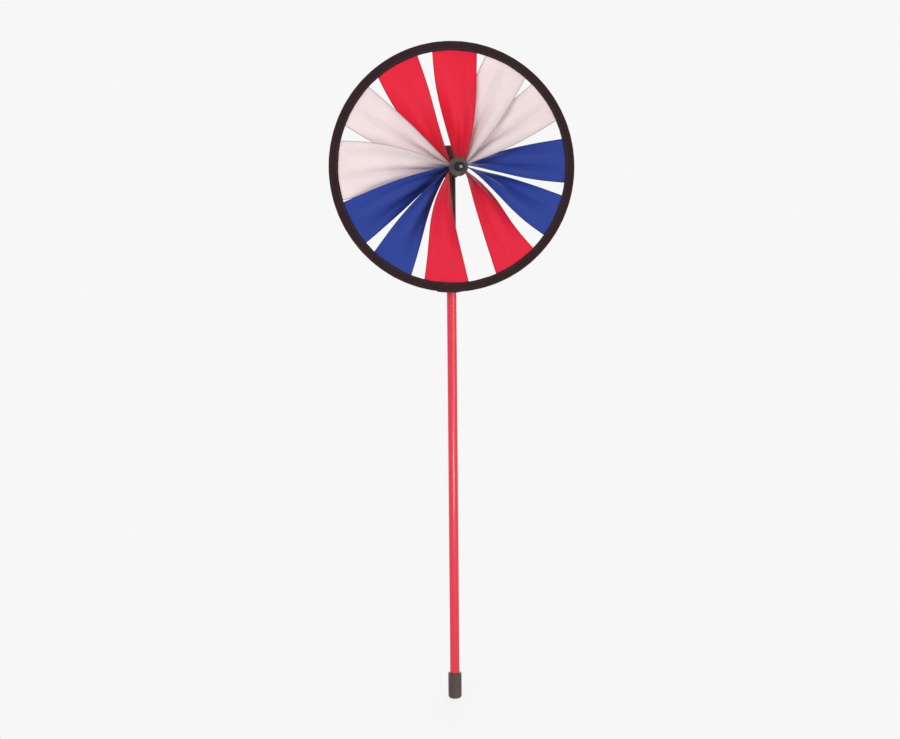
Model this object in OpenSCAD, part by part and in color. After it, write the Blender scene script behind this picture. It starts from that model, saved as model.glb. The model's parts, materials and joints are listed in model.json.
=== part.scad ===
// Pinwheel on a stake: a hooped cloth wheel that spins on a pin through the top of a tube.
// Origin: centre of the stake's lower end. +Z up the stake, the wheel faces -Y.

/* [Stake] */
// Outer diameter of the stake tube and of the neck above it
tube_d = 8; // [7.6:0.1:8.4]
// Inner diameter of both tubes
tube_bore_d = 5; // [4:0.1:5.4]
// Length of the red tube
stake_h = 365; // [300:1:390]
// Height of the wheel's axle above the stake's lower end
axle_h = 445; // [430:1:500]
// Length of the plug that joins the two tubes
joiner_h = 50; // [30:1:60]

/* [Caps] */
// Outer diameter of the cap on the stake's lower end
foot_cap_d = 11.3; // [10.6:0.1:12]
// How far the lower cap reaches up the tube
foot_cap_h = 19.5; // [15:0.5:30]
// Thickness of the lower cap's closed end, and the radius of its corner
foot_cap_floor = 2.4; // [2:0.1:3]
// Outer diameter of the cap on the neck, which holds the axle
head_cap_d = 11; // [10.4:0.1:11.6]
// How far the head cap reaches above the axle
head_above = 18; // [15:0.5:22]
// How far the head cap reaches below the axle
head_below = 8; // [6:0.5:20]
// Thickness of the head cap's closed end
head_cap_roof = 3; // [2:0.1:4]

/* [Axle and hub] */
// Diameter of the steel axle pin
axle_d = 2.5; // [2:0.1:3]
// Running clearance between the axle and the hub's holes, on the radius
running_gap = 0.08; // [0.03:0.01:0.1]
// Diameter of the front disc
front_disc_d = 15.2; // [14.8:0.1:17]
// Thickness of the front disc
front_disc_t = 2.2; // [1.6:0.1:2.4]
// Diameter of the rear disc
rear_disc_d = 12.8; // [12.2:0.1:13.4]
// Thickness of the rear disc
rear_disc_t = 1.6; // [1.2:0.1:1.8]
// Length of the sleeve between the two discs
sleeve_l = 26.6; // [24:0.1:28]
// Diameter of the knob on the axle's front end
knob_d = 7.3; // [6.5:0.1:8]
// Length of the knob
knob_l = 9.3; // [8:0.1:9.5]
// Thickness of the cloth collar
collar_t = 0.7; // [0.6:0.05:0.9]

/* [Wheel] */
// Outer diameter of the bound rim
wheel_d = 203.2; // [195:0.2:210]
// How far the hoop's plane stands in front of the stake's axis
hoop_s = 12; // [11.6:0.1:13]
// Diameter of the hoop rod
rod_d = 2.2; // [2:0.1:2.4]
// Wall of the ferrule that joins the hoop rod's ends
ferrule_wall = 0.5; // [0.4:0.05:0.6]
// Thickness of the binding tape
tape_t = 0.6; // [0.5:0.05:0.7]
// Width of the bound rim, from its outside to the tape's inner edges
rim_w = 7.5; // [7:0.1:8]
// Thickness of a petal's cloth
cloth_t = 0.45; // [0.4:0.05:0.5]
// How full the petals' edges are cut: 0 is straight, 1 is as the maker cuts them
fullness = 1; // [0:0.1:1.1]

/* [Hidden] */
$fn = 96;
TUBE_R = tube_d / 2;
AXLE_R = axle_d / 2;
BEARING_R = AXLE_R + running_gap;
TAPER = 0.3;             // small chamfers on caps and discs

// Places along the axle, counted forwards from the stake's axis
HEAD_R = head_cap_d / 2;
BOSS_R = 3.5;            // round pads on the head cap, square to the axle
BOSS_BACK = -6.2;
BOSS_FRONT = 7;
PIN_HEAD_R = 2.4;
PIN_HEAD_T = 1.3;
END_FLOAT = 0.3;         // play of the wheel between the spacer and the washer
SPACER_L = 1.7;
SPACER_R = 3.2;
HUB_BACK = BOSS_FRONT + SPACER_L + END_FLOAT;
SLEEVE_BACK = HUB_BACK + rear_disc_t;
SLEEVE_FRONT = SLEEVE_BACK + sleeve_l;
HUB_FRONT = SLEEVE_FRONT + front_disc_t;
WASHER_BACK = HUB_FRONT + END_FLOAT;
WASHER_T = 0.8;
WASHER_R = 3.3;
KNOB_BACK = WASHER_BACK + WASHER_T;
KNOB_FRONT = KNOB_BACK + knob_l;
PIN_TIP = KNOB_FRONT + 0.5;

// Hub: a tapered sleeve with a spigot pressed into each end
SPIGOT_R = 3;
SPIGOT_L = 7;
SLEEVE_REAR_R = 5.2;
SLEEVE_FRONT_R = 6.6;
COLLAR_GAP = 0.3;        // the collar stops this short of each disc

// Hoop and binding, in the plane of radius and depth
TAPE_GAP = 0.2;          // room between the tape and what it is folded over
CAVITY_R = rod_d / 2 + ferrule_wall + 0.05;
FOLD_R = CAVITY_R + tape_t;
WHEEL_R = wheel_d / 2;
ROD_RING_R = WHEEL_R - FOLD_R;
RIM_INNER_R = WHEEL_R - rim_w;
SLOT_HALF = cloth_t / 2 + TAPE_GAP / 2;
LEG_HALF = SLOT_HALF + tape_t;
FERRULE_SPAN = 16;       // degrees of the hoop
ROD_GAP_SPAN = 2;

// Petals, clockwise from the top as the wheel is seen from the front. Each one is sewn
// a little off its even place on the rim, and all are gathered towards the hub's two sides.
// Angles are in degrees; the front edge is the clockwise one, and the rear edge the other.
PETALS = 12;
PETAL_COLOURS = ["red", "white", "white", "blue", "blue", "red",
                 "red", "blue", "blue", "white", "white", "red"];
RIM_REAR = [-10, 17, 44.5, 76, 104.5, 135, 172.5, 202, 230, 254, 291, 320];
RIM_FRONT = [12.5, 40, 66.5, 98, 126.5, 158, 195, 224, 253, 283.5, 313.5, 342.5];
GATHER_REAR = [14, 34, 47, 57, 67, 84, 208, 240, 250, 259, 268, 282];
GATHER_FRONT = [54, 62, 70, 77, 84, 120, 258, 266, 273, 280, 288, 306];
// How far each edge is cut full, in mm, outwards from a straight line to the hub
REAR_BOW = [1.5, 5, 3.5, 3, 3, 4, -2.5, -2, 1.5, 1.5, 5, 3.5];
FRONT_BOW = [4, 4, 3, 1.5, 1, 0.5, 4.5, 3, 3.5, 5, 1.5, -0.5];
SEAM_IN = 2.4;           // how far a petal's end lies inside the folded tape
COLLAR_BITE = 0.3;       // how far its other end is sewn into the collar
HUB_END_REAR = SLEEVE_BACK + 0.9;
HUB_END_FRONT = SLEEVE_FRONT - 0.9;
ACROSS = 4;              // steps across a petal
ALONG = 12;              // steps from rim to hub

RED = [0.86, 0.13, 0.23];
WHITE = [0.92, 0.88, 0.88];
BLUE = [0.18, 0.26, 0.6];
BLACK = [0.16, 0.13, 0.14];

function two_digits(n) = n < 10 ? str("0", n) : str(n);
PETAL_NODES = [for (i = [0:PETALS - 1]) str("petal_", two_digits(i + 1), "_", PETAL_COLOURS[i])];

// Puts children on the axle: their x stays, their y is up, their z runs forwards
module on_axle() {
  translate([0, 0, axle_h]) rotate([90, 0, 0]) children();
}

// A round piece on the axle from depth s0 to s1
module disc(s0, s1, r) {
  translate([0, 0, s0]) cylinder(h = s1 - s0, r = r);
}

// A disc with small chamfers at both faces
module soft_disc(s0, s1, r, c = TAPER) {
  rotate_extrude()
    polygon([[0, s0], [r - c, s0], [r, s0 + c], [r, s1 - c], [r - c, s1], [0, s1]]);
}

// ---- Stake ----
module bottom_cap() color(BLACK) {
  r = foot_cap_d / 2;
  c = foot_cap_floor;
  rotate_extrude() difference() {
    union() {
      translate([0, -c]) square([r - c, c]);
      intersection() {
        translate([r - c, 0]) circle(r = c);
        translate([0, -c]) square([r, c]);
      }
      square([r, foot_cap_h - TAPER]);
      translate([0, foot_cap_h - TAPER]) square([r - TAPER, TAPER]);
    }
    square([TUBE_R, foot_cap_h + 1]);
  }
}

module pole() color(RED) difference() {
  cylinder(h = stake_h, r = TUBE_R);
  translate([0, 0, -1]) cylinder(h = stake_h + 2, d = tube_bore_d);
}

module pole_joiner() color(BLACK)
  translate([0, 0, stake_h - joiner_h / 2]) cylinder(h = joiner_h, d = tube_bore_d);

module neck_tube() color(BLACK) {
  top = axle_h + head_above - head_cap_roof;
  difference() {
    translate([0, 0, stake_h]) cylinder(h = top - stake_h, r = TUBE_R);
    translate([0, 0, stake_h - 1]) cylinder(h = top - stake_h + 2, d = tube_bore_d);
    on_axle() disc(-HEAD_R, HEAD_R, AXLE_R);
  }
}

module head_cap() color(BLACK) {
  low = axle_h - head_below;
  difference() {
    union() {
      translate([0, 0, low]) cylinder(h = head_above + head_below - TAPER, r = HEAD_R);
      translate([0, 0, axle_h + head_above - TAPER])
        cylinder(h = TAPER, r1 = HEAD_R, r2 = HEAD_R - TAPER);
      on_axle() disc(BOSS_BACK, BOSS_FRONT, BOSS_R);
    }
    translate([0, 0, low - 1]) cylinder(h = head_above + head_below - head_cap_roof + 1, r = TUBE_R);
    on_axle() disc(BOSS_BACK - 1, BOSS_FRONT + 1, AXLE_R);
  }
}

// ---- Axle ----
module axle_pin() color("silver") on_axle() {
  disc(BOSS_BACK, PIN_TIP - TAPER, AXLE_R);
  translate([0, 0, PIN_TIP - TAPER]) cylinder(h = TAPER, r1 = AXLE_R, r2 = AXLE_R - TAPER);
  soft_disc(BOSS_BACK - PIN_HEAD_T, BOSS_BACK, PIN_HEAD_R);
}

module rear_spacer() color("dimgray") on_axle() difference() {
  soft_disc(BOSS_FRONT, BOSS_FRONT + SPACER_L, SPACER_R);
  disc(BOSS_FRONT - 1, BOSS_FRONT + SPACER_L + 1, AXLE_R);
}

module front_washer() color("dimgray") on_axle() difference() {
  disc(WASHER_BACK, KNOB_BACK, WASHER_R);
  disc(WASHER_BACK - 1, KNOB_BACK + 1, AXLE_R);
}

// Knob with a skirt, a domed front and a hole that shows the pin's tip
module nose_knob() color(BLACK) {
  r = knob_d / 2;
  dome = 1.6;
  on_axle() difference() {
    rotate_extrude() {
      translate([0, KNOB_BACK]) square([r, knob_l - dome]);
      translate([0, KNOB_FRONT - dome]) square([r - dome, dome]);
      intersection() {
        translate([r - dome, KNOB_FRONT - dome]) circle(r = dome);
        translate([0, KNOB_FRONT - dome]) square([r, dome]);
      }
    }
    disc(KNOB_BACK - 1, KNOB_FRONT + 1, AXLE_R);
  }
}

// ---- Hub ----
module rear_hub() color(BLACK) on_axle() difference() {
  union() {
    soft_disc(HUB_BACK, SLEEVE_BACK, rear_disc_d / 2);
    disc(SLEEVE_BACK, SLEEVE_BACK + SPIGOT_L, SPIGOT_R);
  }
  disc(HUB_BACK - 1, SLEEVE_BACK + SPIGOT_L + 1, BEARING_R);
}

// Front disc, with a shallow dish inside its raised edge
module front_hub() color(BLACK) on_axle() {
  edge = 1.1;
  dish = 0.5;
  difference() {
    union() {
      soft_disc(SLEEVE_FRONT, HUB_FRONT, front_disc_d / 2);
      disc(SLEEVE_FRONT - SPIGOT_L, SLEEVE_FRONT, SPIGOT_R);
    }
    difference() {
      disc(HUB_FRONT - dish, HUB_FRONT + 1, front_disc_d / 2 - edge);
      disc(HUB_FRONT - 1, HUB_FRONT + 1, WASHER_R + 0.4);
    }
    disc(SLEEVE_FRONT - SPIGOT_L - 1, HUB_FRONT + 1, BEARING_R);
  }
}

module hub_sleeve() color(BLACK) on_axle() rotate_extrude()
  polygon([[SPIGOT_R, SLEEVE_BACK], [SLEEVE_REAR_R, SLEEVE_BACK],
           [SLEEVE_FRONT_R, SLEEVE_FRONT], [SPIGOT_R, SLEEVE_FRONT]]);

// Radius of the sleeve's outside at depth s
function sleeve_r(s) =
  SLEEVE_REAR_R + (SLEEVE_FRONT_R - SLEEVE_REAR_R) * (s - SLEEVE_BACK) / sleeve_l;

module hub_collar() color(BLACK) {
  s0 = SLEEVE_BACK + COLLAR_GAP;
  s1 = SLEEVE_FRONT - COLLAR_GAP;
  on_axle() rotate_extrude()
    polygon([[sleeve_r(s0), s0], [sleeve_r(s0) + collar_t, s0],
             [sleeve_r(s1) + collar_t, s1], [sleeve_r(s1), s1]]);
}

// ---- Hoop and binding ----
// A length of round rod or tube bent to the hoop's ring, centred at the bottom of the wheel
module hoop_arc(span, r, bore = 0) {
  on_axle() translate([0, 0, hoop_s]) rotate([0, 0, -90 - span / 2])
    rotate_extrude(angle = span) translate([ROD_RING_R, 0]) difference() {
      circle(r = r);
      if (bore > 0) circle(r = bore);
    }
}

module hoop_rod() color("ivory")
  translate([0, 0, axle_h]) mirror([0, 0, 1]) translate([0, 0, -axle_h])
    hoop_arc(360 - ROD_GAP_SPAN, rod_d / 2);

module hoop_ferrule() color("silver")
  hoop_arc(FERRULE_SPAN, rod_d / 2 + ferrule_wall, rod_d / 2);

// Tape folded over the rod, its two legs meeting the petals' ends
module rim_binding() color(BLACK) {
  reach = norm([ROD_RING_R - RIM_INNER_R, LEG_HALF]);
  lean = atan2(LEG_HALF, RIM_INNER_R - ROD_RING_R) - acos(FOLD_R / reach);
  touch = [ROD_RING_R + FOLD_R * cos(lean), FOLD_R * sin(lean)];
  on_axle() translate([0, 0, hoop_s]) rotate_extrude($fn = 128) difference() {
    union() {
      translate([ROD_RING_R, 0]) circle(r = FOLD_R);
      polygon([touch, [RIM_INNER_R, LEG_HALF], [RIM_INNER_R, -LEG_HALF], [touch[0], -touch[1]]]);
    }
    translate([ROD_RING_R, 0]) circle(r = CAVITY_R);
    translate([RIM_INNER_R - 1, -SLOT_HALF]) square([ROD_RING_R - RIM_INNER_R + 1, 2 * SLOT_HALF]);
  }
}

// ---- Petals ----
function mix(a, b, k) = a + (b - a) * k;
function on_ring(r, angle, s) = [r * sin(angle), r * cos(angle), s];
function unit(v) = v / norm(v);

RIM_END_R = RIM_INNER_R + SEAM_IN;
// Share of a petal's length that lies flat inside the tape
FLAT_SHARE = SEAM_IN / (RIM_END_R - SLEEVE_FRONT_R) + 0.004;

// Middle of petal i's cloth: u runs from its rear edge to its front edge, t from rim to hub
function petal_mid(i, u, t) =
  let (
    rim = on_ring(RIM_END_R, mix(RIM_REAR[i], RIM_FRONT[i], u), 0),
    s_hub = mix(HUB_END_REAR, HUB_END_FRONT, u),
    r_hub = sleeve_r(s_hub) + collar_t - COLLAR_BITE,
    hub = on_ring(r_hub, mix(GATHER_REAR[i], GATHER_FRONT[i], u), 0),
    rise = max(0, (t - FLAT_SHARE) / (1 - FLAT_SHARE)),
    inwards = unit(hub - rim),
    clockwise = [-inwards[1], inwards[0], 0],
    bow = fullness * mix(-REAR_BOW[i], FRONT_BOW[i], u) * sin(180 * rise)
  )
  mix(rim, hub, t) + bow * clockwise + [0, 0, mix(hoop_s, s_hub, rise)];

function petal_normal(i, u, t) =
  let (
    d = 0.01,
    du = petal_mid(i, min(1, u + d), t) - petal_mid(i, max(0, u - d), t),
    dt = petal_mid(i, u, min(1, t + d)) - petal_mid(i, u, max(0, t - d))
  )
  unit(cross(du, dt));

module petal(i) {
  row = ACROSS + 1;
  sheet = row * (ALONG + 1);
  // The first row is the flat stretch inside the tape, and the others share the rest evenly
  rows = [0, for (j = [0:ALONG - 1]) mix(FLAT_SHARE, 1, j / (ALONG - 1))];
  grid = [for (t = rows) for (k = [0:ACROSS]) [k / ACROSS, t]];
  points = [
    for (side = [1, -1]) for (g = grid)
      petal_mid(i, g[0], g[1]) + petal_normal(i, g[0], g[1]) * side * cloth_t / 2
  ];
  tops = [for (j = [0:ALONG - 1]) for (k = [0:ACROSS - 1])
    let (a = j * row + k) each [[a, a + 1, a + row + 1], [a, a + row + 1, a + row]]];
  bottoms = [for (f = tops) [f[2] + sheet, f[1] + sheet, f[0] + sheet]];
  border = concat(
    [for (k = [0:ACROSS - 1]) k],
    [for (j = [0:ALONG - 1]) j * row + ACROSS],
    [for (k = [ACROSS:-1:1]) ALONG * row + k],
    [for (j = [ALONG:-1:1]) j * row]
  );
  walls = [for (n = [0:len(border) - 1])
    let (a = border[n], b = border[(n + 1) % len(border)])
    each [[b, a, a + sheet], [b, a + sheet, b + sheet]]];
  colour = PETAL_COLOURS[i] == "red" ? RED : PETAL_COLOURS[i] == "blue" ? BLUE : WHITE;
  color(colour) on_axle() polyhedron(points, concat(tops, bottoms, walls));
}

bottom_cap();
pole();
pole_joiner();
neck_tube();
head_cap();
axle_pin();
rear_spacer();
rear_hub();
hub_sleeve();
hub_collar();
front_hub();
front_washer();
nose_knob();
hoop_rod();
hoop_ferrule();
rim_binding();
for (i = [0:PETALS - 1]) petal(i);
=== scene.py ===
"""Pinwheel on a stake: twelve cloth petals, a bound rim and a gathered hub round the packed part.

Places on the wheel are given as x to the right, y up from the axle and s forwards from the stake's
axis. The wheel turns about the axle, and everything here that belongs to it rides on body "wheel".
"""

import json
import math
from collections import namedtuple

import bpy
import numpy as np
from bpy.props import FloatProperty, FloatVectorProperty, IntProperty, PointerProperty
from mathutils import Matrix, Vector


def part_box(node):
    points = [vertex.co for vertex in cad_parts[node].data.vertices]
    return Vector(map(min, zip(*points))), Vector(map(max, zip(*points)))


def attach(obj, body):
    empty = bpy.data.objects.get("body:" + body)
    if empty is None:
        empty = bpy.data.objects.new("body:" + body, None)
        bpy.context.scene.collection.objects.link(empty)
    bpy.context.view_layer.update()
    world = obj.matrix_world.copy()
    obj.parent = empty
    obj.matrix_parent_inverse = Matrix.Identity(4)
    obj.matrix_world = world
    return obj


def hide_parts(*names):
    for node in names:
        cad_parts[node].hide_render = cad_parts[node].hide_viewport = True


bl_info = {
    "name": "Stake pinwheel",
    "version": (1, 0, 0),
    "blender": (4, 5, 0),
    "location": "View3D > Sidebar > Pinwheel",
    "description": "Makes the cloth, thread and finishes of a pinwheel on a stake",
    "category": "Add Mesh",
}

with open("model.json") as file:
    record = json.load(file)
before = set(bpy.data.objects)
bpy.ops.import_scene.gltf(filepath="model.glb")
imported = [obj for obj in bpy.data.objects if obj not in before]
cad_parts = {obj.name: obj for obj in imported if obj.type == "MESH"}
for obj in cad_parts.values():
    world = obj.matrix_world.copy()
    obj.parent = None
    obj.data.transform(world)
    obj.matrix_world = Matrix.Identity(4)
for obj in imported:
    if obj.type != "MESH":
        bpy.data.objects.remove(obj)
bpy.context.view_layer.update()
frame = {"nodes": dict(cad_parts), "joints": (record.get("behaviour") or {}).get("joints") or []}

MM = 0.001
TURN = 2 * math.pi


# ---- Places taken from the frame ----
def depth(node):
    """How far forwards a node of the wheel reaches: its back and its front."""
    low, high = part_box(node)
    return -high.y, -low.y


def radius(node):
    """Outer radius of a round node of the wheel."""
    low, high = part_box(node)
    return (high.x - low.x) / 2


AXLE_Z = frame["joints"][0]["pos_m"][2]
WHEEL_R = radius("rim_binding")
HOOP_S = sum(depth("rim_binding")) / 2
FOLD_R = (depth("rim_binding")[1] - depth("rim_binding")[0]) / 2
ROD_RING_R = WHEEL_R - FOLD_R
SLEEVE_BACK, SLEEVE_FRONT = depth("hub_sleeve")
COLLAR_BACK, COLLAR_FRONT = depth("hub_collar")
FOOT_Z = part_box("bottom_cap")[0].z

# The sleeve's taper, the same as in the part
SLEEVE_REAR_R = 5.2 * MM
SLEEVE_FRONT_R = radius("hub_sleeve")

# ---- Petals ----
# Angles are in degrees, clockwise from the top as seen from the front. "rim" is where the petal's
# rear and front edges meet the rim, and "hub" where they are gathered on the collar. "full" is how
# far the rear and front edges stand outwards from a straight line to the hub, in mm, and "lean" how
# much of that is moved from the hub's half of the edge to the rim's half. Each fold is (place across
# at the rim, place across at the hub, height in mm, width as a share of the petal, where along it is
# highest).
Petal = namedtuple("Petal", "colour rim hub full lean folds")
PETALS = [
    Petal("red", (-10, 12.5), (24, 54), (2.8, 3.7), (0.6, -0.5),
          [(0.30, 0.35, 0.9, 0.2, 0.55), (0.72, 0.62, -0.9, 0.18, 0.5)]),
    Petal("white", (17, 40), (34, 62), (5, 3.6), (0.2, -0.1),
          [(0.2, 0.3, 1.3, 0.13, 0.4), (0.48, 0.45, -1.9, 0.18, 0.5), (0.8, 0.7, 1.1, 0.12, 0.5)]),
    Petal("white", (44.5, 66.5), (47, 70), (3.5, 3), (0, -0.1),
          [(0.25, 0.3, 1.5, 0.15, 0.45), (0.52, 0.45, -2.3, 0.12, 0.5), (0.75, 0.65, 1.4, 0.14, 0.5)]),
    Petal("blue", (76, 98), (57, 77), (2, 1.7), (0.1, 0.4),
          [(0.28, 0.35, 2.0, 0.15, 0.5), (0.55, 0.5, -2.6, 0.14, 0.6), (0.8, 0.75, 1.4, 0.12, 0.5)]),
    Petal("blue", (104.5, 126.5), (67, 80), (1.7, 1.2), (0.1, 1),
          [(0.35, 0.35, -1.8, 0.16, 0.5), (0.7, 0.65, 1.7, 0.15, 0.6)]),
    Petal("red", (135, 158), (78, 120), (3.7, 0.5), (-1.9, 0),
          [(0.3, 0.3, 0.9, 0.2, 0.5), (0.65, 0.65, -1.1, 0.18, 0.5)]),
    Petal("red", (172.5, 195), (222, 258), (-2.4, 5.6), (0.4, -1.4),
          [(0.35, 0.35, 0.8, 0.18, 0.45), (0.7, 0.6, -0.8, 0.17, 0.5)]),
    Petal("blue", (202, 224), (240, 266), (-2.6, 3.2), (0.9, 0),
          [(0.2, 0.3, -1.8, 0.16, 0.5), (0.55, 0.55, 2.0, 0.15, 0.5), (0.85, 0.75, -1.4, 0.12, 0.6)]),
    Petal("blue", (230, 253), (250, 273), (0.6, 3), (0.2, -0.2),
          [(0.2, 0.3, -2.3, 0.15, 0.5), (0.5, 0.5, 2.0, 0.14, 0.45), (0.75, 0.7, -1.5, 0.12, 0.5)]),
    Petal("white", (254, 283.5), (259, 280), (1.5, 5), (0, 0.1),
          [(0.18, 0.22, 0.9, 0.1, 0.5), (0.4, 0.42, -1.3, 0.1, 0.5), (0.6, 0.58, 1.1, 0.11, 0.5),
           (0.82, 0.8, -0.9, 0.1, 0.55)]),
    Petal("white", (291, 313.5), (268, 288), (5, 1.5), (-0.1, 0.1),
          [(0.2, 0.25, 1.4, 0.14, 0.5), (0.48, 0.5, -1.6, 0.14, 0.55), (0.78, 0.75, 1.2, 0.14, 0.5)]),
    Petal("red", (320, 342.5), (282, 297), (4.8, 0.2), (0.6, 0.6),
          [(0.3, 0.35, 0.9, 0.18, 0.5), (0.65, 0.62, -1.0, 0.17, 0.55)]),
]
PETAL_NAMES = [f"petal_{i + 1:02d}_{p.colour}" for i, p in enumerate(PETALS)]
SEAM_IN = 2.4 * MM       # how far a petal's end lies inside the folded tape
RIM_W = 7.5 * MM         # width of the bound rim
HUB_INSET = 0.9 * MM     # how far a petal's hub end stays inside the sleeve's ends
PETAL_ACROSS = 48        # steps over a petal's width
PETAL_ALONG = 120        # steps from rim to hub


# ---- Small helpers ----
def mix(a, b, k):
    """The value k of the way from a to b."""
    return a + (b - a) * k


def ring(r, degrees):
    """Points on a circle round the axle, as x and y."""
    angle = np.radians(degrees)
    return np.stack([r * np.sin(angle), r * np.cos(angle)], -1)


def sleeve_r(s):
    """Radius of the sleeve's outside at depth s."""
    return mix(SLEEVE_REAR_R, SLEEVE_FRONT_R, (s - SLEEVE_BACK) / (SLEEVE_FRONT - SLEEVE_BACK))


def unit(v):
    """v at length one."""
    return v / np.linalg.norm(v, axis=-1, keepdims=True)


def wheel_place(xy, s):
    """Points of the wheel, in the frame of the part."""
    return np.stack([xy[..., 0], -s, AXLE_Z + xy[..., 1]], -1)


def soft_noise(x, y, seed):
    """A smooth waviness from -1 to 1, the same each time for a seed."""
    draw = np.random.default_rng(seed)
    total = 0
    for octave in range(4):
        k = draw.uniform(0.7, 1.4, 2) * 1.7**octave
        shift = draw.uniform(0, TURN, 2)
        total = total + np.sin(x * k[0] + shift[0]) * np.sin(y * k[1] + shift[1]) / 1.5**octave
    return total / 2.2


def grid_faces(rows, columns, start=0, flip=False):
    """Faces of a grid of points that are numbered row by row."""
    faces = []
    for j in range(rows - 1):
        for k in range(columns - 1):
            a = start + j * columns + k
            quad = (a, a + 1, a + columns + 1, a + columns)
            faces.append(quad[::-1] if flip else quad)
    return faces


def new_piece(name, points, faces, smooth=True):
    """A mesh object at the origin, with its place in its points."""
    mesh = bpy.data.meshes.new(name)
    mesh.from_pydata(np.asarray(points).reshape(-1, 3).tolist(), [], faces)
    mesh.validate()
    mesh.update()
    if smooth:
        mesh.shade_smooth()
    piece = bpy.data.objects.new(name, mesh)
    bpy.context.scene.collection.objects.link(piece)
    return piece


def give_uv(mesh, flat):
    """Writes each point's place on the flat cloth, in metres, as the piece's UV map."""
    corner_points = np.zeros(len(mesh.loops), np.int32)
    mesh.loops.foreach_get("vertex_index", corner_points)
    layer = mesh.uv_layers.new(name="cloth")
    layer.data.foreach_set("uv", np.asarray(flat, np.float32)[corner_points].ravel())


def give_value(mesh, name, values):
    """Writes one number for each point, which a material can read by its name."""
    attribute = mesh.attributes.new(name, "FLOAT", "POINT")
    attribute.data.foreach_set("value", np.asarray(values, np.float32).ravel())


def thick_sheet(name, middle, thickness, flat, values):
    """A closed sheet of cloth on a grid of points, with rounded sides."""
    rows, columns = middle.shape[:2]
    along = np.gradient(middle, axis=0)
    across = np.gradient(middle, axis=1)
    normal = unit(np.cross(across, along))
    half = thickness / 2
    layers = [middle + normal * half, middle - normal * half]
    size = rows * columns
    faces = grid_faces(rows, columns) + grid_faces(rows, columns, size, flip=True)
    border = list(range(columns))
    border += [j * columns + columns - 1 for j in range(1, rows)]
    border += [(rows - 1) * columns + k for k in range(columns - 2, -1, -1)]
    border += [j * columns for j in range(rows - 2, 0, -1)]
    # A row of points half way down the sides, pushed out a little, rounds them
    outward = np.zeros_like(middle)
    outward[0] -= unit(along[0])
    outward[-1] += unit(along[-1])
    outward[:, 0] -= unit(across[:, 0])
    outward[:, -1] += unit(across[:, -1])
    side = (middle + outward * half * 0.6).reshape(-1, 3)[border]
    count = len(border)
    for n in range(count):
        m = (n + 1) % count
        a, b = border[n], border[m]
        c, d = 2 * size + n, 2 * size + m
        faces += [(b, a, c, d), (d, c, a + size, b + size)]
    points = np.concatenate([layers[0].reshape(-1, 3), layers[1].reshape(-1, 3), side])
    piece = new_piece(name, points, faces)

    def doubled(a):
        a = a.reshape(size, -1)
        return np.concatenate([a, a, a[border]])

    give_uv(piece.data, doubled(flat))
    for key, value in values.items():
        give_value(piece.data, key, doubled(value))
    return piece


def node(tree, kind, sockets=None, **settings):
    """Adds a node. A socket's value is a number, a colour or another node's output."""
    made = tree.nodes.new(kind)
    for key, value in settings.items():
        setattr(made, key, value)
    for key, value in (sockets or {}).items():
        if isinstance(value, bpy.types.NodeSocket):
            tree.links.new(value, made.inputs[key])
        else:
            made.inputs[key].default_value = value
    return made


def sums(tree, operation, a, b=0.0, c=0.5):
    """The output of a Math node."""
    return node(tree, "ShaderNodeMath", {0: a, 1: b, 2: c}, operation=operation).outputs[0]


def share(tree, value, low, high):
    """value as a share of the way from low to high, kept within 0 and 1."""
    made = node(tree, "ShaderNodeMapRange", {"Value": value, "From Min": low, "From Max": high})
    return made.outputs[0]


def colour_mix(tree, factor, a, b):
    """The output of a Mix node for colours."""
    made = tree.nodes.new("ShaderNodeMix")
    made.data_type = "RGBA"
    for index, value in ((0, factor), (6, a), (7, b)):
        if isinstance(value, bpy.types.NodeSocket):
            tree.links.new(value, made.inputs[index])
        else:
            made.inputs[index].default_value = value
    return made.outputs[2]


def rgba(colour, times=1.0):
    """A colour with its alpha, made lighter or darker."""
    return tuple(min(1.0, c * times) for c in colour) + (1.0,)


def new_finish(name):
    """A material with its Principled node and its output, ready for more nodes."""
    material = bpy.data.materials.new(name)
    material.use_nodes = True
    tree = material.node_tree
    return material, tree, tree.nodes["Principled BSDF"], tree.nodes["Material Output"]


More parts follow.
